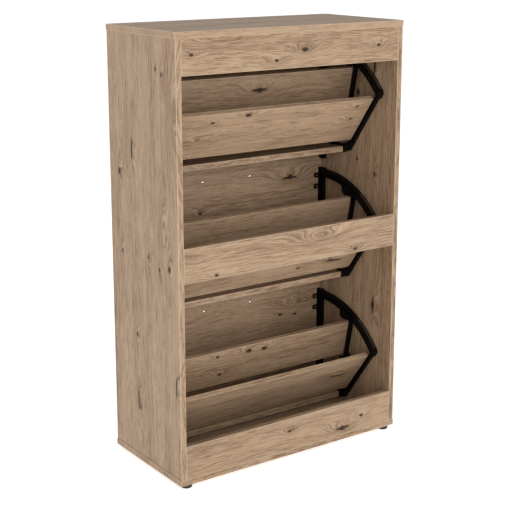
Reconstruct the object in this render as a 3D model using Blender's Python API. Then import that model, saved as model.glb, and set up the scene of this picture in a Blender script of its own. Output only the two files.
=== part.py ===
"""Shoe cabinet with three tip-out flaps, open at the rear.

The front faces -Y and the open rear faces +Y. The origin is on the floor, midway between the
rear and the handles.
Each flap turns outward about an X axis low behind its front board, and carries two moulded
side frames that hold a divider, a rear board and a bottom board: two rows of shoes a flap.
"""

import math

import bmesh
import bpy
from mathutils import Vector

# Driving dimensions, in metres.
WIDTH = 0.720            # over the top and bottom panels
DEPTH = 0.340
CARCASS_HEIGHT = 1.160   # without the feet
FOOT_HEIGHT = 0.010
FOOT_RADIUS = 0.015
FOOT_INSET = (0.026, 0.017)   # of its centre, from the bottom panel's edges
FOOT_ARRIS = 0.0015
BOARD = 0.016            # carcass and flap boards
SHELF_BOARD = 0.012      # divider and rear boards
LIP = 0.002              # the top and bottom panels stand past the sides by this
RAIL_HEIGHT = 0.090
MIDDLE_RAIL_CENTRE = 0.5835   # above the bottom panel's underside
GAP = 0.0003             # between pieces that touch
ARRIS = 0.0008           # broken edge of every board

FLAPS = ("lower", "middle", "upper")
FLAP_GAP = 0.005
FLAP_SIDE_GAP = 0.0026   # clears the bracket plates
FRAME_WIDTH = 0.012      # a side frame's ribs, along X
BRACKET_PLATE = 0.002    # pivot bracket plate between side panel and side frame

# A flap's profile: (in, up) = behind the front board's inner face, above its lower edge.
PIVOT = (0.004, 0.040)
PIN_RADIUS = 0.0025
BRACKET_IN, BRACKET_OUT = 0.002, 0.020
BRACKET_TOP = 0.054
BRACKET_LOW_AT_FLOOR = 0.004
BLOCK_TOP = -0.0056      # under the sweep of the flap's lower edge
BLOCK_LOW = -0.0295      # over the sweep of the next flap's arc
PIN_LENGTH = 0.0084
POST_DEPTH = 0.022
POST_TOP = 0.318
ARC_CENTRE = (0.030, 0.010)
ARC_OUTER = 0.303
ARC_INNER = 0.281
RIB = 0.009
REAR_CORNER = (0.264, 0.182)
REAR_BOARD_TOP = (0.244, 0.172)
REAR_BOARD_FOOT = (0.150, 0.046)
DIVIDER_TOP = (0.153, 0.250)
DIVIDER_FOOT = (0.130, 0.146)
BOTTOM_BOARD_END = 0.114
BOTTOM_BOARD_LOW = 0.006
BOTTOM_BOARD_THICKNESS = 0.015
REAR_RIB_FOOT = (0.139, 0.014)
DIVIDER_RIB = ((0.162, 0.262), (0.137, 0.144))
DIVIDER_RIB_WIDTH = 0.006
SHELF_RIB = ((0.112, 0.131), (0.236, 0.158))
SHELF_RIB_WIDTH = 0.005
ARC_LAST = 92            # degrees, where the arc runs into the post
CLIP_OUTLINE = ((0.112, 0.0215), (0.112, 0.027), (0.150, 0.044), (0.160, 0.040),
                (0.139, 0.012), (0.1145, 0.004), (0.1145, 0.0215))
LINK_OUTLINE = ((0.010, 0.0215), (0.116, 0.0215), (0.116, 0.027), (0.010, 0.027))
CAP_OUTLINE = ((0.010, 0.300), (0.046, 0.296), (0.064, 0.302), (0.064, 0.307),
               (0.010, 0.318))
BOSS_OUTLINE = ((0.112, 0.285), (0.112, 0.262), (0.120, 0.254), (0.148, 0.254),
                (0.152, 0.270), (0.140, 0.278))
LUG_HEIGHTS = (0.294, 0.260)
LUG_REACH = 0.016
LUG_HALF = 0.007
LUG_THICKNESS = 0.0044
LUG_STANDOFF = 0.0003    # lugs and post stand this far behind the front board
SCREW_HOLE = 0.0024
LUG_SCREW = (0.0016, 0.0036, 0.0018, 0.0105)   # shank and head radius, head height, length
LUG_SCREW_BITE = 0.006   # into the front board
LUG_PILOT = 0.0020
HANDLE_SCREW = (0.0020, 0.0042, 0.0026, 0.015)
HANDLE_HOLE = 0.0024
HANDLE_HEIGHT = 0.317    # handle screws above the flap's lower edge
HANDLE_SPACING = 0.160
HANDLE_REACH = 0.028
HANDLE_GRIP = 0.011
HANDLE_THICKNESS = 0.007

# Derived places.
FLOOR_TOP = FOOT_HEIGHT + BOARD
TOP = FOOT_HEIGHT + CARCASS_HEIGHT
SIDE_OUTER = WIDTH / 2 - LIP
SIDE_INNER = SIDE_OUTER - BOARD
REAR = (DEPTH + HANDLE_REACH + GAP) / 2   # the origin is midway, handles included
FRONT = REAR - DEPTH
CLEAR_HEIGHT = CARCASS_HEIGHT - 2 * BOARD
FLAP_HEIGHT = (CLEAR_HEIGHT - 4 * FLAP_GAP) / 3
PITCH = FLAP_HEIGHT + FLAP_GAP
FLAP_BACK = FRONT + BOARD
FRAME_OUTER = SIDE_INNER - GAP - BRACKET_PLATE - GAP
FRAME_INNER = FRAME_OUTER - FRAME_WIDTH


def clear_scene():
    for item in list(bpy.data.objects):
        bpy.data.objects.remove(item)


def material(name, colour, roughness, metallic=0.0):
    made = bpy.data.materials.new(name)
    made.use_nodes = True
    shader = made.node_tree.nodes["Principled BSDF"]
    shader.inputs["Base Color"].default_value = (*colour, 1)
    shader.inputs["Roughness"].default_value = roughness
    shader.inputs["Metallic"].default_value = metallic
    return made


def finish(name, bm, finish_material, place=(0, 0, 0), parent=None, smooth=False):
    """Makes the object of a bmesh whose points are relative to place."""
    bmesh.ops.recalc_face_normals(bm, faces=bm.faces)
    mesh = bpy.data.meshes.new(name)
    bm.to_mesh(mesh)
    bm.free()
    mesh.materials.append(finish_material)
    if smooth:
        mesh.shade_smooth()
        mesh.set_sharp_from_angle(angle=math.radians(35))
    made = bpy.data.objects.new(name, mesh)
    bpy.context.scene.collection.objects.link(made)
    made.parent = parent
    made.location = Vector(place) - (parent.location if parent else Vector())
    return made


def box_bmesh(size, centre=(0, 0, 0)):
    bm = bmesh.new()
    bmesh.ops.create_cube(bm, size=1)
    bmesh.ops.scale(bm, vec=size, verts=bm.verts)
    bmesh.ops.translate(bm, vec=centre, verts=bm.verts)
    return bm


def board(name, low, high, finish_material, parent=None):
    """A flat board between two corners, with its arrises broken."""
    low, high = Vector(low), Vector(high)
    bm = box_bmesh(high - low)
    bmesh.ops.bevel(bm, geom=bm.edges, offset=ARRIS, segments=1, affect="EDGES")
    return finish(name, bm, finish_material, (low + high) / 2, parent)


def prism(outline, low_x, high_x):
    """A closed solid: an outline of (y, z) points carried from low_x to high_x."""
    bm = bmesh.new()
    face = bm.faces.new([bm.verts.new((low_x, y, z)) for y, z in outline])
    grown = bmesh.ops.extrude_face_region(bm, geom=[face])["geom"]
    moved = [item for item in grown if isinstance(item, bmesh.types.BMVert)]
    bmesh.ops.translate(bm, vec=(high_x - low_x, 0, 0), verts=moved)
    bmesh.ops.recalc_face_normals(bm, faces=bm.faces)
    return bm


def cylinder_bmesh(radius, length, axis, centre, sides=24):
    bm = bmesh.new()
    bmesh.ops.create_cone(bm, cap_ends=True, segments=sides, radius1=radius,
                          radius2=radius, depth=length)
    turn = Vector((0, 0, 1)).rotation_difference(Vector(axis)).to_matrix()
    bmesh.ops.rotate(bm, cent=(0, 0, 0), matrix=turn, verts=bm.verts)
    bmesh.ops.translate(bm, vec=centre, verts=bm.verts)
    return bm


def helper(name, bm):
    """A solid that only adds to or cuts another one."""
    mesh = bpy.data.meshes.new(name)
    bmesh.ops.recalc_face_normals(bm, faces=bm.faces)
    bm.to_mesh(mesh)
    bm.free()
    made = bpy.data.objects.new(name, mesh)
    bpy.context.scene.collection.objects.link(made)
    made.hide_render = True
    made.display_type = "WIRE"
    return made


def combine(target, tool, operation):
    tool.parent = target.parent
    tool.location = target.location
    modifier = target.modifiers.new(tool.name, "BOOLEAN")
    modifier.operation = operation
    modifier.solver = "EXACT"
    modifier.object = tool


def bar_outline(start, end, width, side=0.5):
    """The four corners of a straight bar; side says how much of its width is on its left."""
    run = (Vector(end) - Vector(start)).normalized()
    left = Vector((-run.y, run.x)) * width
    start, end = Vector(start), Vector(end)
    return [start + left * side, start - left * (1 - side),
            end - left * (1 - side), end + left * side]


def arc_points(radius, first, last, steps):
    """Points on the side frame's arc; angles are from straight inward, upwards."""
    angles = [first + (last - first) * step / steps for step in range(steps + 1)]
    return [Vector((ARC_CENTRE[0] + radius * math.cos(angle),
                    ARC_CENTRE[1] + radius * math.sin(angle))) for angle in angles]


class Flap:
    """Places of one flap: its number counts from the lowest."""

    def __init__(self, number):
        self.name = FLAPS[number]
        self.low = FLOOR_TOP + FLAP_GAP + number * PITCH
        self.hinge = bpy.data.objects.new("hinge_" + self.name, None)
        self.hinge.location = (0, FLAP_BACK + PIVOT[0], self.low + PIVOT[1])
        bpy.context.scene.collection.objects.link(self.hinge)

    def local(self, point):
        """A profile point as (y, z) from the flap's hinge axis."""
        return point[0] - PIVOT[0], point[1] - PIVOT[1]

    def profile_piece(self, name, outline, low_x, high_x, finish_material):
        bm = prism([self.local(point) for point in outline], low_x, high_x)
        return finish(name, bm, finish_material, self.hinge.location, self.hinge)


def carcass(oak, rubber):
    half = WIDTH / 2
    board("top_panel", (-half, FRONT, TOP - BOARD), (half, REAR, TOP), oak)
    board("bottom_panel", (-half, FRONT, FOOT_HEIGHT), (half, REAR, FLOOR_TOP), oak)
    low, high = FLOOR_TOP + GAP, TOP - BOARD - GAP
    board("side_panel_left", (-SIDE_OUTER, FRONT, low), (-SIDE_INNER, REAR, high), oak)
    board("side_panel_right", (SIDE_INNER, FRONT, low), (SIDE_OUTER, REAR, high), oak)
    rails = {
        "rear_rail_bottom": low,
        "rear_rail_middle": FOOT_HEIGHT + MIDDLE_RAIL_CENTRE - RAIL_HEIGHT / 2,
        "rear_rail_top": high - RAIL_HEIGHT,
    }
    for name, rail_low in rails.items():
        board(name, (-SIDE_INNER + GAP, REAR - BOARD, rail_low),
              (SIDE_INNER - GAP, REAR, rail_low + RAIL_HEIGHT), oak)
    in_x, in_y = FOOT_INSET
    for side, x in (("left", -half + in_x), ("right", half - in_x)):
        for end, y in (("front", FRONT + in_y), ("rear", REAR - in_y)):
            height = FOOT_HEIGHT - GAP
            bm = cylinder_bmesh(FOOT_RADIUS, height, (0, 0, 1), (0, 0, 0), 32)
            rim = [edge for edge in bm.edges if edge.calc_face_angle(0) > 1]
            bmesh.ops.bevel(bm, geom=rim, offset=FOOT_ARRIS, segments=2, affect="EDGES")
            finish(f"foot_{end}_{side}", bm, rubber, (x, y, height / 2), smooth=True)


def side_frame(flap, side, black):
    """Post, arc, rear rib, divider rib, shelf rib, foot clip and two screw lugs as one piece."""
    word = "left" if side < 0 else "right"
    low_x, high_x = sorted((side * FRAME_INNER, side * FRAME_OUTER))
    name = f"side_frame_{flap.name}_{word}"
    foot = BRACKET_IN
    post = [(GAP, foot), (POST_DEPTH, foot), (POST_DEPTH, POST_TOP), (GAP, POST_TOP)]
    made = flap.profile_piece(name, post, low_x, high_x, black)

    first = math.atan2(REAR_CORNER[1] - ARC_CENTRE[1], REAR_CORNER[0] - ARC_CENTRE[0])
    last = math.radians(ARC_LAST)
    arc = arc_points(ARC_OUTER, first, last, 20) + arc_points(ARC_INNER, last, first, 20)
    ribs = {
        "arc": arc,
        "rear": bar_outline(REAR_CORNER, REAR_RIB_FOOT, RIB, 0.0),
        "divider": bar_outline(*DIVIDER_RIB, DIVIDER_RIB_WIDTH),
        "shelf": bar_outline(*SHELF_RIB, SHELF_RIB_WIDTH),
        "clip": CLIP_OUTLINE, "link": LINK_OUTLINE, "cap": CAP_OUTLINE, "boss": BOSS_OUTLINE,
    }
    for rib, outline in ribs.items():
        bm = prism([flap.local(point) for point in outline], low_x, high_x)
        combine(made, helper(f"{name}_{rib}", bm), "UNION")
    return made, name


def add_lugs(flap, side, frame, name):
    overlap = 2 * RIB / 5
    root, tip = FRAME_INNER + overlap, FRAME_INNER - LUG_REACH
    depth = LUG_STANDOFF + LUG_THICKNESS / 2
    for number, height in enumerate(LUG_HEIGHTS):
        y, z = flap.local((depth, height))
        size = (root - tip, LUG_THICKNESS, 2 * LUG_HALF)
        lug = box_bmesh(size, (side * (root + tip) / 2, y, z))
        combine(frame, helper(f"{name}_lug_{number}", lug), "UNION")
        hole = cylinder_bmesh(SCREW_HOLE, BOARD, (0, 1, 0),
                              (side * (FRAME_INNER - LUG_REACH / 2), y, z))
        combine(frame, helper(f"{name}_hole_{number}", hole), "DIFFERENCE")
    bore = cylinder_bmesh(PIN_RADIUS + GAP, 2 * (PIN_LENGTH + GAP + BRACKET_PLATE / 2),
                          (1, 0, 0), (side * FRAME_OUTER, 0, 0))
    combine(frame, helper(f"{name}_bore", bore), "DIFFERENCE")


def screw(name, flap, place, size, steel):
    """A pan-head screw lying along Y with its head towards the rear: place is under the head."""
    radius, head_radius, head, length = size
    profile = [(0, -length), (radius, -length), (radius, 0), (head_radius, 0),
               (head_radius, head / 2), (head_radius / 2, head), (0, head)]
    bm = bmesh.new()
    points = [bm.verts.new((x, y, 0)) for x, y in profile]
    edges = [bm.edges.new(pair) for pair in zip(points, points[1:])]
    bmesh.ops.spin(bm, geom=points + edges, cent=(0, 0, 0), axis=(0, 1, 0),
                   angle=2 * math.pi, steps=20, use_merge=True)
    bmesh.ops.remove_doubles(bm, verts=bm.verts, dist=GAP / 100)
    return finish(name, bm, steel, place, flap.hinge, smooth=True)


def pivot_bracket(flap, side, black, number):
    """Plate on the side panel with the flap's pin; above the floor it also has a foot block."""
    word = "left" if side < 0 else "right"
    plate_out = SIDE_INNER - GAP
    plate_in = plate_out - BRACKET_PLATE
    middle = (plate_in + plate_out) / 2
    low_x, high_x = sorted((side * plate_in, side * plate_out))
    low = BLOCK_LOW if number else BRACKET_LOW_AT_FLOOR
    front, rear = BRACKET_IN, BRACKET_OUT
    plate = [(front, low), (rear, low), (rear, BRACKET_TOP), (front, BRACKET_TOP)]
    hinge = flap.hinge
    bm = prism([flap.local(point) for point in plate], low_x, high_x)
    made = finish(f"pivot_bracket_{flap.name}_{word}", bm, black, hinge.location)
    tip = plate_in - PIN_LENGTH
    pin = cylinder_bmesh(PIN_RADIUS, middle - tip, (1, 0, 0),
                         (side * (middle + tip) / 2, 0, 0), 20)
    combine(made, helper(made.name + "_pin", pin), "UNION")
    if number:
        block = [(front, BLOCK_LOW + BRACKET_PLATE), (front + RIB, BLOCK_LOW),
                 (rear, BLOCK_LOW), (rear, BLOCK_TOP), (front, BLOCK_TOP)]
        inner, outer = sorted((side * (FRAME_INNER + ARRIS), side * middle))
        bm = prism([flap.local(point) for point in block], inner, outer)
        combine(made, helper(made.name + "_block", bm), "UNION")


def handle(flap, black):
    """A bow handle on the front: two feet and a grip swept along one flat curve."""
    half, rise, steps = HANDLE_SPACING / 2, HANDLE_GRIP, 16
    inner_reach = HANDLE_REACH - HANDLE_THICKNESS
    front = FRONT - GAP
    outer, inner = [], []
    for step in range(steps + 1):
        angle = math.pi * step / steps
        across, out = -math.cos(angle), max(math.sin(angle), 0)
        outer.append(((half + rise / 2) * across, HANDLE_REACH * out ** 0.35))
        inner.append(((half - rise / 2) * across, inner_reach * out ** 0.5))
    outline = outer + inner[::-1]
    bm = bmesh.new()
    face = bm.faces.new([bm.verts.new((x, -y, -rise / 2)) for x, y in outline])
    grown = bmesh.ops.extrude_face_region(bm, geom=[face])["geom"]
    moved = [item for item in grown if isinstance(item, bmesh.types.BMVert)]
    bmesh.ops.translate(bm, vec=(0, 0, rise), verts=moved)
    place = (0, front, flap.low + HANDLE_HEIGHT)
    return finish(f"handle_{flap.name}", bm, black, place, flap.hinge, smooth=True)


def flap_boards(flap, oak):
    half = SIDE_INNER - FLAP_SIDE_GAP
    top = flap.low + FLAP_HEIGHT
    front = board(f"flap_front_{flap.name}", (-half, FRONT, flap.low), (half, FLAP_BACK, top),
                  oak, flap.hinge)
    length = FRAME_INNER - GAP
    rear = bar_outline(REAR_BOARD_FOOT, REAR_BOARD_TOP, SHELF_BOARD, 1.0)
    divider = bar_outline(DIVIDER_FOOT, DIVIDER_TOP, SHELF_BOARD, 1.0)
    low, high = BOTTOM_BOARD_LOW, BOTTOM_BOARD_LOW + BOTTOM_BOARD_THICKNESS
    bottom = [(GAP, low), (BOTTOM_BOARD_END, low), (BOTTOM_BOARD_END, high), (GAP, high)]
    for word, outline in (("rear", rear), ("divider", divider), ("bottom", bottom)):
        flap.profile_piece(f"{word}_board_{flap.name}", outline, -length, length, oak)
    return front


def handle_screws(flap, front, steel):
    z = flap.low + HANDLE_HEIGHT
    middle = flap.low + FLAP_HEIGHT / 2
    for word, x in (("left", -HANDLE_SPACING / 2), ("right", HANDLE_SPACING / 2)):
        hole = cylinder_bmesh(HANDLE_HOLE, 3 * BOARD, (0, 1, 0), (x, 0, z - middle), 20)
        combine(front, helper(f"{front.name}_hole_{word}", hole), "DIFFERENCE")
        screw(f"handle_screw_{flap.name}_{word}", flap, (x, FLAP_BACK + GAP, z),
              HANDLE_SCREW, steel)


def lug_screws(flap, side, steel, front):
    word = "left" if side < 0 else "right"
    x = side * (FRAME_INNER - LUG_REACH / 2)
    middle = flap.low + FLAP_HEIGHT / 2
    seat = FLAP_BACK + LUG_STANDOFF + LUG_THICKNESS + GAP
    for number, height in enumerate(LUG_HEIGHTS):
        z = flap.low + height
        hole = cylinder_bmesh(LUG_PILOT, 2 * LUG_SCREW_BITE, (0, 1, 0),
                              (x, BOARD / 2, z - middle), 16)
        combine(front, helper(f"{front.name}_{word}_{number}", hole), "DIFFERENCE")
        screw(f"frame_screw_{flap.name}_{word}_{number + 1}", flap, (x, seat, z),
              LUG_SCREW, steel)


def main():
    clear_scene()
    oak = material("knotty_oak", (0.43, 0.31, 0.21), 0.55)
    black = material("black_plastic", (0.012, 0.012, 0.012), 0.45)
    rubber = material("black_rubber", (0.010, 0.010, 0.010), 0.75)
    steel = material("steel", (0.62, 0.61, 0.58), 0.30, 1.0)
    carcass(oak, rubber)
    for number in range(len(FLAPS)):
        flap = Flap(number)
        front = flap_boards(flap, oak)
        handle(flap, black)
        handle_screws(flap, front, steel)
        for side in (-1, 1):
            frame, name = side_frame(flap, side, black)
            add_lugs(flap, side, frame, name)
            lug_screws(flap, side, steel, front)
            pivot_bracket(flap, side, black, number)


main()
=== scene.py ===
import math

import bpy
import numpy as np
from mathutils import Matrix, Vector


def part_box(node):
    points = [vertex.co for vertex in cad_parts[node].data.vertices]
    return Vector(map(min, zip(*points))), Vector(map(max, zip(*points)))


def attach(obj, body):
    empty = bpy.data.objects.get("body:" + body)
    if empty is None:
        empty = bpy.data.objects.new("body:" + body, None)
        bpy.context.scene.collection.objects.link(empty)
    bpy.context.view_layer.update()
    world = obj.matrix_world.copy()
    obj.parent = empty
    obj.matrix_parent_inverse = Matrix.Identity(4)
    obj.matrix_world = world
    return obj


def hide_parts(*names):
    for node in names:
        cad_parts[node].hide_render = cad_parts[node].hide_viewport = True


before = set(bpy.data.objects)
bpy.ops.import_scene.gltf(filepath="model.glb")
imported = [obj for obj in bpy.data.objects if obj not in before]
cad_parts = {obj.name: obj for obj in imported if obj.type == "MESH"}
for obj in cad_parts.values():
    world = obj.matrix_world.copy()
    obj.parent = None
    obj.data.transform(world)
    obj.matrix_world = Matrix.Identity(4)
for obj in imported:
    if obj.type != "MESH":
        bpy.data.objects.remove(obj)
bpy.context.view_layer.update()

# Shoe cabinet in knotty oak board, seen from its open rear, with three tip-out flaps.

FLAPS = ("lower", "middle", "upper")
SIDES = (("left", -1), ("right", 1))
ALONG_X, ALONG_Z = (1.0, 0.0, 0.0), (0.0, 0.0, 1.0)
ACROSS_Y, ACROSS_Z = (0.0, 1.0, 0.0), (0.0, 0.0, 1.0)


# ---------------------------------------------------------------- meshes from numpy arrays

def smooth_from_angle(mesh, degrees=32):
    """Smooth shading, with every edge sharper than the angle left crisp."""
    mesh.shade_smooth()
    mesh.set_sharp_from_angle(angle=math.radians(degrees))


def piece_from(name, parts, material, body):
    """One object from several (points, faces) arrays; every part is a closed surface."""
    mesh = bpy.data.meshes.new(name)
    points, faces, start = [], [], 0
    for part_points, part_faces in parts:
        points.append(np.asarray(part_points, float))
        faces += [tuple(int(i) + start for i in face) for face in part_faces]
        start += len(part_points)
    mesh.from_pydata(np.concatenate(points).tolist(), [], faces)
    mesh.validate()
    smooth_from_angle(mesh)
    mesh.materials.append(material)
    made = bpy.data.objects.new(name, mesh)
    bpy.context.scene.collection.objects.link(made)
    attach(made, body)
    return made


def grid_faces(rows, columns, wrap_rows=False):
    """Quads of a grid of points stored row by row, each row a closed ring.

    With wrap_rows the last row joins the first.
    """
    r, c = np.meshgrid(np.arange(rows if wrap_rows else rows - 1), np.arange(columns),
                       indexing="ij")
    up, across = (r + 1) % rows, (c + 1) % columns
    quads = np.stack([r * columns + c, r * columns + across, up * columns + across,
                      up * columns + c], axis=-1)
    return quads.reshape(-1, 4).tolist()


def facing_out(points, faces):
    """Turns a closed surface right side out: its signed volume is made positive."""
    points = np.asarray(points, float)
    volume = 0.0
    for size in {len(face) for face in faces}:
        group = np.array([face for face in faces if len(face) == size])
        corner = points[group]
        for k in range(1, size - 1):
            volume += np.einsum("ij,ij->i", corner[:, 0],
                                np.cross(corner[:, k], corner[:, k + 1])).sum()
    return points, (faces if volume > 0 else [face[::-1] for face in faces])


def rounded_outline(half_a, half_b, radius, steps=4):
    """A rectangle with round corners: four quarter arcs, each at a corner's own centre."""
    turn = np.linspace(0, math.pi / 2, steps + 1)
    corners = [(1, 1, 0), (-1, 1, 1), (-1, -1, 2), (1, -1, 3)]
    rings = [np.stack([a * (half_a - radius) + radius * np.cos(turn + k * math.pi / 2),
                       b * (half_b - radius) + radius * np.sin(turn + k * math.pi / 2)], 1)
             for a, b, k in corners]
    return np.concatenate(rings)


def swept(path, outline):
    """A profile carried along a path in a plane square to X, with both ends capped.

    The profile's first axis is X; its second is X cross the tangent at each path point.
    """
    path, outline = np.asarray(path, float), np.asarray(outline, float)
    across = np.array(ALONG_X)
    tangent = np.gradient(path, axis=0)
    tangent /= np.linalg.norm(tangent, axis=1, keepdims=True)
    side = np.cross(across, tangent)
    points = (path[:, None] + outline[:, :1] * across
              + outline[:, 1:] * side[:, None]).reshape(-1, 3)
    rows, columns = len(path), len(outline)
    faces = grid_faces(rows, columns)
    faces += [list(range(columns))[::-1], list(range((rows - 1) * columns, rows * columns))]
    return facing_out(points, faces)


def turned(profile, centre, axis, segments=32):
    """A profile of (radius, height) pairs turned about an axis; both ends reach radius 0."""
    profile = np.asarray(profile, float)
    axis = np.asarray(axis, float) / np.linalg.norm(axis)
    first = np.cross(axis, [0.0, 0.0, 1.0] if abs(axis[2]) < 0.9 else [0.0, 1.0, 0.0])
    first /= np.linalg.norm(first)
    second = np.cross(axis, first)
    turn = np.linspace(0, 2 * math.pi, segments, endpoint=False)
    spoke = np.cos(turn)[:, None] * first + np.sin(turn)[:, None] * second
    rings = profile[1:-1]
    body = (rings[:, None, :1] * spoke + rings[:, None, 1:] * axis).reshape(-1, 3)
    poles = profile[[0, -1], 1:] * axis
    points = np.concatenate([body, poles]) + np.asarray(centre, float)
    faces = grid_faces(len(rings), segments)
    low, high, last = len(body), len(body) + 1, (len(rings) - 1) * segments
    ring = np.arange(segments)
    following = (ring + 1) % segments
    faces += np.stack([following, ring, np.full(segments, low)], 1).tolist()
    faces += np.stack([ring + last, following + last, np.full(segments, high)], 1).tolist()
    return facing_out(points, faces)


# ---------------------------------------------------------------- materials

class Tree:
    """Shader nodes made one call at a time; a number or a tuple stands for a constant."""

    def __init__(self, name):
        self.material = bpy.data.materials.new(name)
        self.material.use_nodes = True
        self.nodes = self.material.node_tree.nodes
        self.links = self.material.node_tree.links
        self.shader = self.nodes["Principled BSDF"]
        texture = self.nodes.new("ShaderNodeTexCoord")
        self.place = texture.outputs["Object"]

    def feed(self, socket, value):
        if isinstance(value, bpy.types.NodeSocket):
            self.links.new(value, socket)
        else:
            socket.default_value = value

    def math(self, operation, *values, clamp=False):
        node = self.nodes.new("ShaderNodeMath")
        node.operation = operation
        node.use_clamp = clamp
        for socket, value in zip(node.inputs, values):
            self.feed(socket, value)
        return node.outputs[0]

    def dot(self, vector, direction):
        node = self.nodes.new("ShaderNodeVectorMath")
        node.operation = "DOT_PRODUCT"
        self.feed(node.inputs[0], vector)
        node.inputs[1].default_value = direction
        return node.outputs["Value"]

    def joined(self, x, y, z=0.0):
        node = self.nodes.new("ShaderNodeCombineXYZ")
        for socket, value in zip(node.inputs, (x, y, z)):
            self.feed(socket, value)
        return node.outputs[0]

    def noise(self, vector, scale=1.0, detail=2.0, roughness=0.5, distortion=0.0):
        node = self.nodes.new("ShaderNodeTexNoise")
        self.feed(node.inputs["Vector"], vector)
        for name, value in (("Scale", scale), ("Detail", detail), ("Roughness", roughness),
                            ("Distortion", distortion)):
            node.inputs[name].default_value = value
        return node.outputs["Fac"]

    def ramp(self, value, low, high, start=0.0, end=1.0, smooth=True):
        node = self.nodes.new("ShaderNodeMapRange")
        node.interpolation_type = "SMOOTHSTEP" if smooth else "LINEAR"
        for socket, item in zip(node.inputs, (value, low, high, start, end)):
            self.feed(socket, item)
        return node.outputs["Result"]

    def mix(self, factor, first, second):
        node = self.nodes.new("ShaderNodeMix")
        node.data_type = "RGBA"
        self.feed(node.inputs["Factor"], factor)
        for socket, colour in ((node.inputs["A"], first), (node.inputs["B"], second)):
            self.feed(socket, colour)
        return node.outputs["Result"]

    def bump(self, height, distance, strength=1.0):
        node = self.nodes.new("ShaderNodeBump")
        node.inputs["Strength"].default_value = strength
        node.inputs["Distance"].default_value = distance
        self.feed(node.inputs["Height"], height)
        return node.outputs["Normal"]


SPECKLE_FINENESS = 900.0    # of moulded and drawn surfaces, per metre
ROUGHNESS_SPREAD = 0.06


def plain(name, colour, roughness, metallic=0.0, grain=0.0):
    """A single-colour material with a fine moulded or drawn surface."""
    tree = Tree(name)
    tree.shader.inputs["Base Color"].default_value = (*colour, 1.0)
    tree.shader.inputs["Metallic"].default_value = metallic
    speckle = tree.noise(tree.place, SPECKLE_FINENESS, 3.0, 0.6)
    tree.feed(tree.shader.inputs["Roughness"],
              tree.ramp(speckle, 0.3, 0.7, roughness - ROUGHNESS_SPREAD,
                        roughness + ROUGHNESS_SPREAD))
    if grain:
        tree.feed(tree.shader.inputs["Normal"], tree.bump(speckle, grain))
    return tree.material


OAK_LIGHT = (0.450, 0.322, 0.214, 1.0)
OAK_MIDDLE = (0.335, 0.228, 0.144, 1.0)
OAK_DARK = (0.165, 0.094, 0.050, 1.0)
OAK_KNOT = (0.022, 0.010, 0.005, 1.0)
# Painted highlight: the lighter colour laid along the boards' arrises, where edges catch the
# light.
OAK_EDGE_HIGHLIGHT = (0.580, 0.430, 0.300, 1.0)


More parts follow.
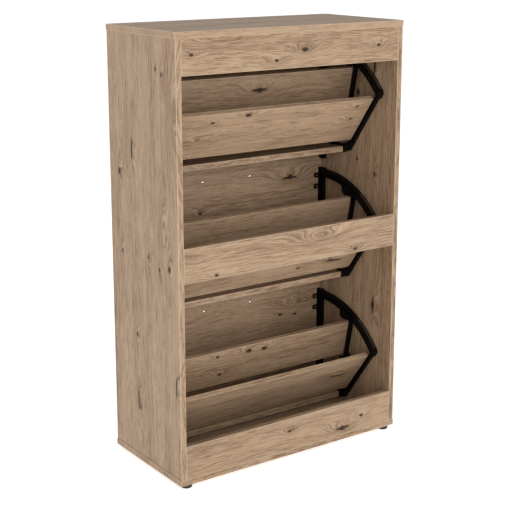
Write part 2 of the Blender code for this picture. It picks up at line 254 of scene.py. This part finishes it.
def oak(name, along, across, reach, knots=(), calm=0.0, drift=0.0):
    """Knotty oak foil: streaks run along one direction and bend round the knots.

    p and q are the distances along and across the grain. The streaks are noise of
    (p * small, q' * large), where q' is q plus slow waves plus, at every knot, a hump
    lift * exp(-(dp / length)^2 - (dq / width)^2), whose level lines are closed rings.
    calm widens the range of tones that count as plain wood.
    A knot is (p, q, length, width, lift, heart, crack): heart is the dark middle's radius
    and crack half the length of the split along the grain, in metres. reach holds the
    board's lowest and highest (along, across, thick): the second smallest of a point's
    three distances to them is its distance from the nearest edge, where the foil gets a
    painted highlight along each arris.
    three distances to them is its distance from the nearest edge, where the foil is light.
    """
    tree = Tree(name)
    thick = Vector(along).cross(Vector(across))
    p = tree.dot(tree.place, along)
    flat_q = tree.dot(tree.place, across)
    depth = tree.dot(tree.place, thick)
    q = tree.math("MULTIPLY_ADD", depth, 0.35, flat_q)
    slow = tree.noise(tree.joined(tree.math("MULTIPLY", p, 2.1), tree.math("MULTIPLY", q, 6.0),
                                  drift), detail=1.0)
    wave = tree.noise(tree.joined(tree.math("MULTIPLY", p, 9.0), tree.math("MULTIPLY", q, 22.0),
                                  drift + 4.0), detail=2.0)
    bent = tree.math("MULTIPLY_ADD", slow, 0.030, q)
    bent = tree.math("MULTIPLY_ADD", wave, 0.0075, bent)
    ragged = tree.noise(tree.place, 260.0, 3.0, 0.65)
    dark, halo = None, None
    for knot_p, knot_q, length, width, lift, heart, crack in knots:
        dp = tree.math("SUBTRACT", p, knot_p)
        dq = tree.math("SUBTRACT", flat_q, knot_q)
        squares = tree.math("ADD", tree.math("POWER", tree.math("DIVIDE", dp, length), 2.0),
                            tree.math("POWER", tree.math("DIVIDE", dq, width), 2.0))
        hump = tree.math("EXPONENT", tree.math("MULTIPLY", squares, -1.0))
        bent = tree.math("MULTIPLY_ADD", hump, lift, bent)
        halo = hump if halo is None else tree.math("MAXIMUM", halo, hump)
        if heart:
            rough = tree.math("MULTIPLY_ADD", tree.math("SUBTRACT", ragged, 0.5), 1.9 * heart,
                              tree.math("SQRT", tree.math(
                                  "ADD", tree.math("POWER", tree.math("MULTIPLY", dp, 0.62), 2.0),
                                  tree.math("POWER", dq, 2.0))))
            spot = tree.ramp(rough, 0.80 * heart, 1.75 * heart, 1.0, 0.0)
            dark = spot if dark is None else tree.math("MAXIMUM", dark, spot)
        if crack:
            sway = tree.math("MULTIPLY_ADD", tree.math("SUBTRACT", wave, 0.5), 0.014, dq)
            off = tree.math("MULTIPLY_ADD", tree.math("SUBTRACT", ragged, 0.5), 0.0060,
                            tree.math("ABSOLUTE", sway))
            line = tree.math("MULTIPLY", tree.ramp(off, 0.0020, 0.0048, 1.0, 0.0),
                             tree.ramp(tree.math("ABSOLUTE", dp), 0.45 * crack, crack, 1.0, 0.0))
            dark = line if dark is None else tree.math("MAXIMUM", dark, line)

    def streak(fineness, run, detail, offset):
        return tree.noise(tree.joined(tree.math("MULTIPLY", p, run),
                                      tree.math("MULTIPLY", bent, fineness), drift + offset),
                          detail=detail, roughness=0.6)

    broad, bands = streak(16.0, 1.2, 2.0, 1.0), streak(110.0, 5.0, 3.0, 2.0)
    fine, hair = streak(430.0, 19.0, 3.0, 3.0), streak(1000.0, 60.0, 2.0, 5.0)
    body = tree.math("MULTIPLY", broad, 0.22)
    for layer, weight in ((bands, 0.20), (fine, 0.48), (hair, 0.30)):
        body = tree.math("MULTIPLY_ADD", layer, weight, body)
    value = tree.ramp(body, 0.41 - calm, 0.78 + calm / 2)
    colour = tree.mix(tree.ramp(value, 0.0, 0.55, smooth=False), OAK_DARK, OAK_MIDDLE)
    colour = tree.mix(tree.ramp(value, 0.40, 1.0, smooth=False), colour, OAK_LIGHT)
    pores = tree.math("MULTIPLY", tree.ramp(hair, 0.60, 0.70), tree.ramp(bands, 0.60, 0.42))
    colour = tree.mix(tree.math("MULTIPLY", pores, 0.28), colour, OAK_DARK)
    if halo is not None:
        rings = tree.math("MULTIPLY", tree.ramp(halo, 0.10, 0.95), tree.ramp(fine, 0.62, 0.40))
        colour = tree.mix(tree.math("MULTIPLY", rings, 0.55), colour, OAK_DARK)
    if dark is not None:
        colour = tree.mix(tree.math("MULTIPLY", dark, 0.97), colour, OAK_KNOT)
    gaps = [tree.math("MINIMUM", tree.math("SUBTRACT", place, low),
                      tree.math("SUBTRACT", high, place))
            for place, low, high in zip((p, flat_q, depth), *reach)]
    edge = tree.math("MAXIMUM", tree.math("MINIMUM", gaps[0], gaps[1]),
                     tree.math("MINIMUM", tree.math("MAXIMUM", gaps[0], gaps[1]), gaps[2]))
    # Painted highlight: within two millimetres of each arris the foil is mixed towards a lighter
    # colour, as if the edge caught the light.
    colour = tree.mix(tree.ramp(edge, 0.0007, 0.0020, 0.70, 0.0), colour, OAK_EDGE_HIGHLIGHT)
    tree.feed(tree.shader.inputs["Base Color"], colour)
    tree.shader.inputs["Specular IOR Level"].default_value = 0.30
    tree.feed(tree.shader.inputs["Roughness"], tree.ramp(value, 0.0, 1.0, 0.64, 0.52))
    relief = tree.math("MULTIPLY_ADD", fine, 0.5, tree.math("MULTIPLY", pores, -0.6))
    tree.feed(tree.shader.inputs["Normal"], tree.bump(relief, 0.00025, 0.6))
    return tree.material


def dress(name, material):
    """Gives a CAD node its material."""
    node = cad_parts[name]
    node.data.materials.clear()
    node.data.materials.append(material)
    return node


def soften(node, width):
    """Rounds a node's sharp edges."""
    arris = node.modifiers.new("arris", "BEVEL")
    arris.width, arris.segments = width, 2
    arris.angle_limit = math.radians(50)


# Marks in the foil: (length, width, lift, heart, crack), in metres, as oak() reads them.
SPECK = (0.035, 0.010, 0.015, 0.0030, 0.0)
KNOT = (0.050, 0.013, 0.020, 0.0046, 0.0)
SPLIT = (0.070, 0.016, 0.024, 0.0, 0.036)
SPLIT_KNOT = (0.070, 0.022, 0.030, 0.0056, 0.034)
FIGURE = (0.110, 0.022, 0.034, 0.0, 0.0)

# Each mark's place is given as shares of its board's length and width. Along a side
# panel is up from the bottom and across it is from front to rear; along the others is from
# left to right and across them is from front to rear or from bottom to top.
MARKS = {
    "side_panel_right": [
        (SPECK, 0.93, 0.72), (SPECK, 0.92, 0.80), (FIGURE, 0.84, 0.95), (SPLIT, 0.74, 0.35),
        (KNOT, 0.68, 0.15), (FIGURE, 0.57, 0.77), (SPECK, 0.49, 0.17), (SPECK, 0.50, 0.57),
        (SPECK, 0.48, 0.73), (KNOT, 0.49, 0.87), (SPECK, 0.30, 0.37), (SPLIT, 0.22, 0.95),
        (SPLIT, 0.14, 0.37), (SPECK, 0.12, 0.40),
    ],
    "side_panel_left": [
        (SPLIT, 0.90, 0.72), (KNOT, 0.83, 0.52), (SPECK, 0.66, 0.52), (SPECK, 0.63, 0.75),
        (SPLIT_KNOT, 0.29, 0.76),
    ],
    "top_panel": [(FIGURE, 0.57, 0.55)],
    "rear_rail_top": [
        (FIGURE, 0.86, 0.90), (SPECK, 0.96, 0.55), (SPECK, 0.59, 0.25), (KNOT, 0.46, 0.50),
        (SPECK, 0.10, 0.50),
    ],
    "rear_rail_middle": [(FIGURE, 0.38, 0.65), (SPECK, 0.20, 0.12), (SPECK, 0.86, 0.10)],
    "rear_rail_bottom": [(SPLIT_KNOT, 0.25, 0.20), (SPECK, 0.15, 0.45), (SPECK, 0.52, 0.60)],
    "divider_board_upper": [(SPLIT_KNOT, 0.48, 0.60), (KNOT, 0.92, 0.20)],
    "divider_board_lower": [
        (KNOT, 0.54, 0.82), (KNOT, 0.46, 0.80), (SPECK, 0.70, 0.85), (SPECK, 0.68, 0.30),
    ],
    "rear_board_upper": [
        (KNOT, 0.63, 0.90), (SPECK, 0.79, 0.80), (SPECK, 0.07, 0.85), (SPECK, 0.07, 0.55),
        (FIGURE, 0.90, 0.35),
    ],
    "rear_board_middle": [(SPECK, 0.31, 0.25), (SPLIT, 0.12, 0.30)],
    "rear_board_lower": [(SPLIT, 0.12, 0.55), (SPECK, 0.95, 0.12)],
    "flap_front_middle": [(SPLIT_KNOT, 0.17, 0.81), (SPECK, 0.63, 0.62)],
    "flap_front_lower": [(FIGURE, 0.10, 0.76), (SPECK, 0.22, 0.70), (SPECK, 0.14, 0.68)],
}

# The slanted boards' feet and tops in a flap's profile, (in, up), as in the CAD.
REAR_BOARD = ((0.150, 0.046), (0.244, 0.172))
DIVIDER = ((0.130, 0.146), (0.153, 0.250))
BROKEN_EDGE = 0.0008
DRIFT_STEP = 3.7    # moves each board to its own part of the noise


def up_the_board(foot, top):
    """The direction across a slanted board's grain: from its foot to its top, length one."""
    return tuple(Vector((0.0, top[0] - foot[0], top[1] - foot[1])).normalized())


def dress_boards():
    """Gives every board its own oak: the grain's two directions, and how calm it is."""
    boards = {
        "top_panel": (ALONG_X, ACROSS_Y, 0.16), "bottom_panel": (ALONG_X, ACROSS_Y, 0.0),
        "side_panel_left": (ALONG_Z, ACROSS_Y, 0.0), "side_panel_right": (ALONG_Z, ACROSS_Y, 0.0),
        "rear_rail_top": (ALONG_X, ACROSS_Z, 0.0), "rear_rail_middle": (ALONG_X, ACROSS_Z, 0.0),
        "rear_rail_bottom": (ALONG_X, ACROSS_Z, 0.03),
    }
    for flap in FLAPS:
        boards["flap_front_" + flap] = (ALONG_X, ACROSS_Z, 0.0)
        boards["rear_board_" + flap] = (ALONG_X, up_the_board(*REAR_BOARD), 0.0)
        boards["divider_board_" + flap] = (ALONG_X, up_the_board(*DIVIDER), 0.0)
        boards["bottom_board_" + flap] = (ALONG_X, ACROSS_Y, 0.0)
    for number, (name, (along, across, calm)) in enumerate(boards.items()):
        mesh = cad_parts[name].data
        corners = np.empty(3 * len(mesh.vertices))
        mesh.vertices.foreach_get("co", corners)
        thick = Vector(along).cross(Vector(across))
        corners = corners.reshape(-1, 3) @ np.array([along, across, thick]).T
        low, high = corners.min(axis=0), corners.max(axis=0)
        knots = [(*(low + np.array([*shares, 0.0]) * (high - low))[:2].tolist(), *mark)
                 for mark, *shares in MARKS.get(name, ())]
        node = dress(name, oak("oak_" + name, along, across, (low.tolist(), high.tolist()),
                               knots, calm, DRIFT_STEP * number))
        if name.split("_board_")[0] in ("rear", "divider", "bottom"):
            soften(node, BROKEN_EDGE)


dress_boards()


# ---------------------------------------------------------------- flap hardware

class FlapPlaces:
    """Turns a profile point (in, up) of one flap, as in the CAD, into a place in the row frame."""

    def __init__(self, flap):
        low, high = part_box("flap_front_" + flap)
        self.back, self.low = high[1], low[2]

    def at(self, x, profile):
        profile = np.asarray(profile, float)
        x = np.broadcast_to(x, profile.shape[:-1])
        return np.stack([x, self.back + profile[..., 0], self.low + profile[..., 1]], -1)


FRAME_WIDTH = 0.012
FRAME_HIGH_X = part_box("side_frame_lower_right")[1][0]
FRAME_LOW_X = FRAME_HIGH_X - FRAME_WIDTH
FRAME_MIDDLE = (FRAME_LOW_X + FRAME_HIGH_X) / 2
ARC_CENTRE, ARC_OUTER, ARC_INNER = (0.030, 0.010), 0.303, 0.281
REAR_CORNER, REAR_RIB_FOOT = (0.264, 0.182), (0.139, 0.014)
DIVIDER_RIB = ((0.162, 0.262), (0.137, 0.144))
SHELF_RIB = ((0.112, 0.131), (0.236, 0.158))
POST_DEPTH, POST_TOP = 0.022, 0.318
LUG_HEIGHTS, LUG_REACH, LUG_HALF = (0.294, 0.260), 0.016, 0.007


def channel_outline(width, depth, flange=0.0022, web=0.0030):
    """An I-section: flanges across both edges of a middle web, as plastic ribs are moulded."""
    a, b = width / 2, depth / 2
    quarter = [(a, b), (a, b - flange), (web / 2, b - flange)]
    corner = [(sx * x, sy * y) for sx, sy, order in
              ((1, 1, 1), (1, -1, -1), (-1, -1, 1), (-1, 1, -1))
              for x, y in quarter[::order]]
    return np.array(corner)


def extruded(places, outline, low_x, high_x, chamfer=0.0008):
    """A profile outline carried along X with chamfered rims: rings shrink towards its middle."""
    outline = np.asarray(outline, float)
    middle = outline.mean(axis=0)
    reach = np.linalg.norm(outline - middle, axis=1, keepdims=True)
    inset = outline - (outline - middle) / reach * chamfer
    rings = [(inset, low_x), (outline, low_x + chamfer), (outline, high_x - chamfer),
             (inset, high_x)]
    points = np.concatenate([places.at(x, ring) for ring, x in rings])
    count = len(outline)
    faces = grid_faces(len(rings), count)
    faces += [list(range(count))[::-1], list(range(3 * count, 4 * count))]
    return facing_out(points, faces)


def straight(places, side, start, end, width, depth):
    """A straight rib of I-section between two profile points."""
    path = places.at(side * FRAME_MIDDLE, np.linspace(start, end, 2))
    return swept(path, channel_outline(width, depth))


def rounded_polygon(corners, radius=0.0015, steps=3):
    """A polygon whose corners are cut by quadratic curves that start radius before them."""
    corners = np.asarray(corners, float)
    before, after = np.roll(corners, 1, axis=0), np.roll(corners, -1, axis=0)

    def towards(other):
        run = other - corners
        length = np.linalg.norm(run, axis=1, keepdims=True)
        return corners + run / length * np.minimum(radius, length * 0.45)

    start, end = towards(before), towards(after)
    t = np.linspace(0, 1, steps + 1)[None, :, None]
    curve = (1 - t) ** 2 * start[:, None] + 2 * t * (1 - t) * corners[:, None] \
        + t ** 2 * end[:, None]
    return curve.reshape(-1, 2)


def ring_lug(places, side, height):
    """A flat eyelet with a countersunk hole, standing off the post.

    Its rim is a rounded box: each half size times the power 0.55 of cosine or sine, with
    their signs, cut straight where it meets the post. The hole's rings are circles.
    """
    turn = np.linspace(0, 2 * math.pi, 48, endpoint=False)
    centre_x = FRAME_LOW_X - LUG_REACH / 2
    across, up = np.cos(turn), np.sin(turn)
    power = 0.55
    outer_x = centre_x + LUG_REACH / 2 * np.sign(across) * np.abs(across) ** power
    outer_z = LUG_HALF * np.sign(up) * np.abs(up) ** power
    root = FRAME_LOW_X + 0.002
    outer_x = np.where(across > 0.15, np.maximum(outer_x, root), outer_x)

    def ring(x, z, depth):
        points = places.at(0.0, np.stack([np.full(len(x), depth), height + z], -1))
        points[:, 0] = side * x
        return points

    def hole(radius):
        return centre_x + radius * across, radius * up

    near, far = 0.0003, 0.0047
    rings = [ring(outer_x, outer_z, near), ring(outer_x, outer_z, far - 0.0006),
             ring(centre_x + (outer_x - centre_x) * 0.93, outer_z * 0.93, far),
             ring(*hole(0.0046), far), ring(*hole(0.0040), far - 0.0014),
             ring(*hole(0.0024), far - 0.0016), ring(*hole(0.0024), near)]
    return facing_out(np.concatenate(rings), grid_faces(len(rings), len(turn), wrap_rows=True))


def side_frame(flap, word, side, black, rung_highlight_black):
    """One moulded frame: post, arc with a ladder of windows, ribs, clip, caps and eyelets."""
    places = FlapPlaces(flap)
    low_x, high_x = sorted((side * FRAME_LOW_X, side * FRAME_HIGH_X))
    parts = [straight(places, side, (POST_DEPTH / 2 + 0.0002, 0.004),
                      (POST_DEPTH / 2 + 0.0002, POST_TOP), 0.0118, POST_DEPTH - 0.0004)]
    start = math.atan2(REAR_CORNER[1] - ARC_CENTRE[1], REAR_CORNER[0] - ARC_CENTRE[0])
    split, stop = start + 0.40, math.radians(92)

    def arc(first, last, radius, steps):
        turn = np.linspace(first, last, steps)
        return np.stack([ARC_CENTRE[0] + radius * np.cos(turn),
                         ARC_CENTRE[1] + radius * np.sin(turn)], -1)

    def swept_arc(first, last, low, high, width, steps, flange=0.0024):
        path = places.at(side * FRAME_MIDDLE, arc(first, last, (low + high) / 2, steps))
        return swept(path, channel_outline(width, high - low, flange))

    parts.append(swept_arc(split - 0.01, stop, ARC_INNER, ARC_OUTER, 0.0119, 34, 0.0050))
    lower = places.at(side * FRAME_MIDDLE, arc(start, split, (ARC_INNER + ARC_OUTER) / 2, 22))
    wall = rounded_outline(0.0012, 0.0110, 0.0004, 2)
    for shift in (-0.0047, 0.0047):
        parts.append(swept(lower, wall + [shift, 0.0]))
    inner = places.at(side * FRAME_MIDDLE, arc(start, split, ARC_INNER + 0.0016, 22))
    parts.append(swept(inner, rounded_outline(0.0040, 0.0014, 0.0004, 2)))
    rungs = []
    for turn in np.linspace(start + 0.03, split - 0.02, 22):
        spoke = np.array([math.cos(turn), math.sin(turn)])
        ends = np.array(ARC_CENTRE) + spoke * np.array([[ARC_OUTER - 0.0062],
                                                        [ARC_OUTER - 0.0002]])
        rungs.append(swept(places.at(side * FRAME_MIDDLE, ends),
                           rounded_outline(0.0041, 0.0013, 0.0004, 2)))
    # The rungs take the lighter black, a painted highlight on the ladder.
    piece_from(f"arc_rungs_{flap}_{word}", rungs, rung_highlight_black, "flap_" + flap)
    run = np.array(REAR_RIB_FOOT) - np.array(REAR_CORNER)
    run /= np.linalg.norm(run)
    inward = np.array([-run[1], run[0]]) * -0.0045
    parts.append(straight(places, side, np.array(REAR_CORNER) + inward,
                          np.array(REAR_RIB_FOOT) + inward, 0.0116, 0.009))
    parts.append(straight(places, side, *DIVIDER_RIB, 0.0116, 0.006))
    parts.append(straight(places, side, *SHELF_RIB, 0.0114, 0.005))
    blocks = {
        "corner": [(0.2660, 0.1750), (0.2735, 0.1880), (0.2690, 0.2010), (0.2560, 0.1980),
                   (0.2480, 0.1800), (0.2560, 0.1700)],
        "clip": [(0.112, 0.0215), (0.112, 0.027), (0.150, 0.044), (0.160, 0.040),
                 (0.139, 0.012), (0.1145, 0.004), (0.1145, 0.0215)],
        "link": [(0.010, 0.0215), (0.116, 0.0215), (0.116, 0.027), (0.010, 0.027)],
        "cap": [(0.010, 0.300), (0.046, 0.296), (0.064, 0.302), (0.064, 0.307), (0.010, 0.318)],
        "boss": [(0.112, 0.285), (0.112, 0.262), (0.120, 0.254), (0.148, 0.254),
                 (0.152, 0.270), (0.140, 0.278)],
        "gusset": [(0.133, 0.139), (0.152, 0.143), (0.1445, 0.152), (0.1420, 0.170),
                   (0.1385, 0.166)],
        "knob": [(0.1535, 0.240), (0.1600, 0.238), (0.1640, 0.262), (0.1570, 0.264)],
    }
    for block, outline in blocks.items():
        inset = 0.0002 if block == "corner" else 0.0
        parts.append(extruded(places, rounded_polygon(outline), low_x + inset, high_x - inset))
    for height in LUG_HEIGHTS:
        parts.append(ring_lug(places, side, height))
    made = piece_from(f"moulded_frame_{flap}_{word}", parts, black, "flap_" + flap)
    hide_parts(f"side_frame_{flap}_{word}")


def screw_head(centre, axis, radius, height, name, material, body, node, shank):
    """A pan-head screw: a turned dome with a round recess, and its shank.

    The dome's radius falls as cosine to the power 0.8 while its height rises as sine.
    """
    turn = np.linspace(0, math.pi / 2, 8)
    dome = [(radius * math.cos(t) ** 0.8, height * (0.35 + 0.65 * math.sin(t))) for t in turn]
    profile = [(0.0, -shank), (radius * 0.40, -shank), (radius * 0.46, -shank + 0.0006),
               (radius * 0.46, 0.0), (radius * 0.97, 0.0), (radius, height * 0.12)]
    profile += dome[:-1]
    profile += [(radius * 0.30, height * 0.985), (radius * 0.24, height * 0.45),
                (0.0, height * 0.40)]
    made = piece_from(name, [turned(profile, centre, axis)], material, body)
    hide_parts(node)


def hardware():
    """The handles, side frames, brackets, screws and feet, each in its own finish."""
    black = plain("moulded_black_plastic", (0.0026, 0.0022, 0.0020), 0.52, grain=0.00006)
    black.node_tree.nodes["Principled BSDF"].inputs["Specular IOR Level"].default_value = 0.11
    # Painted highlight: the ladder's rungs get a lighter brownish black so they read as catching
    # the light.
    rung_highlight_black = plain("black_plastic_painted_highlight", (0.060, 0.042, 0.030), 0.40)
    lacquer = plain("black_handle_lacquer", (0.010, 0.010, 0.010), 0.34)
    steel = plain("zinc_steel", (0.74, 0.73, 0.70), 0.24, metallic=1.0)
    bronze = plain("bronzed_screw_steel", (0.34, 0.23, 0.14), 0.42, metallic=1.0)
    rubber = plain("black_foot_rubber", (0.012, 0.010, 0.009), 0.62, grain=0.0001)
    for flap in FLAPS:
        body = "flap_" + flap
        soften(dress("handle_" + flap, lacquer), 0.0012)
        for word, side in SIDES:
            side_frame(flap, word, side, black, rung_highlight_black)
            soften(dress(f"pivot_bracket_{flap}_{word}", black), 0.0004)
            node = f"handle_screw_{flap}_{word}"
            low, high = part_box(node)
            centre = ((low[0] + high[0]) / 2, high[1] - 0.0026, (low[2] + high[2]) / 2)
            screw_head(centre, (0, 1, 0), 0.0046, 0.0028, "pan_" + node, steel, body, node, 0.012)
            for number in (1, 2):
                node = f"frame_screw_{flap}_{word}_{number}"
                low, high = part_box(node)
                centre = ((low[0] + high[0]) / 2, high[1] - 0.0018, (low[2] + high[2]) / 2)
                screw_head(centre, (0, 1, 0), 0.0036, 0.0018, "pan_" + node, bronze, body, node,
                           0.009)
    for end in ("front", "rear"):
        for word, side in SIDES:
            dress(f"foot_{end}_{word}", rubber)


hardware()


# ---------------------------------------------------------------- floor, light and camera

def studio():
    """A pale floor, a sky that dims overhead, and four soft lamps."""
    scene = bpy.context.scene
    floor = bpy.data.meshes.new("floor")
    reach = 40.0
    floor.from_pydata([(-reach, -reach, 0), (reach, -reach, 0), (reach, reach, 0),
                       (-reach, reach, 0)], [], [(0, 1, 2, 3)])
    sheet = bpy.data.objects.new("floor", floor)
    tree = Tree("pale_floor")
    tree.shader.inputs["Base Color"].default_value = (0.90, 0.90, 0.90, 1.0)
    tree.shader.inputs["Emission Color"].default_value = (1.0, 1.0, 1.0, 1.0)
    tree.shader.inputs["Emission Strength"].default_value = 0.60
    tree.shader.inputs["Roughness"].default_value = 0.9
    tree.shader.inputs["Specular IOR Level"].default_value = 0.0
    floor.materials.append(tree.material)
    scene.collection.objects.link(sheet)

    world = bpy.data.worlds.new("studio")
    world.use_nodes = True
    nodes, links = world.node_tree.nodes, world.node_tree.links
    direction = nodes.new("ShaderNodeTexCoord")
    height = nodes.new("ShaderNodeSeparateXYZ")
    brightness = nodes.new("ShaderNodeMapRange")
    brightness.interpolation_type = "SMOOTHSTEP"
    for name, value in (("From Min", 0.12), ("From Max", 0.62), ("To Min", 1.0),
                        ("To Max", 0.46)):
        brightness.inputs[name].default_value = value
    links.new(direction.outputs["Generated"], height.inputs[0])
    links.new(height.outputs["Z"], brightness.inputs["Value"])
    links.new(brightness.outputs["Result"], nodes["Background"].inputs["Strength"])
    nodes["Background"].inputs["Color"].default_value = (1.0, 1.0, 1.0, 1.0)
    scene.world = world

    lamps = {"key": ((1.1, 3.4, 1.7), 1.8, 32.0), "fill": ((-1.6, 3.2, 1.3), 1.8, 18.0),
             "side": ((3.4, 0.4, 1.7), 2.0, 6.0), "front": ((0.5, -3.6, 2.4), 2.6, 30.0)}
    for name, (place, size, power) in lamps.items():
        lamp = bpy.data.lights.new(name, "AREA")
        lamp.size, lamp.energy, lamp.color = size, power, (1.0, 0.955, 0.90)
        made = bpy.data.objects.new(name, lamp)
        made.location = place
        aim = Vector((0.0, 0.0, 0.55)) - made.location
        made.rotation_euler = aim.to_track_quat("-Z", "Y").to_euler()
        scene.collection.objects.link(made)
    scene.view_settings.view_transform = "Standard"


def camera():
    """Stands behind the cabinet on its right and looks a little down at it."""
    azimuth, elevation = math.radians(144.831), math.radians(13.112)
    back = Vector((math.sin(azimuth) * math.cos(elevation),
                   -math.cos(azimuth) * math.cos(elevation), math.sin(elevation)))
    lens = bpy.data.cameras.new("camera")
    lens.sensor_width, lens.lens = 36.0, 84.60
    lens.shift_y = -0.0777
    made = bpy.data.objects.new("camera", lens)
    made.location = (1.8528, 2.6425, 1.3907)
    made.rotation_mode = "QUATERNION"
    made.rotation_quaternion = (-back).to_track_quat("-Z", "Y")
    bpy.context.scene.collection.objects.link(made)
    bpy.context.scene.camera = made


studio()
camera()
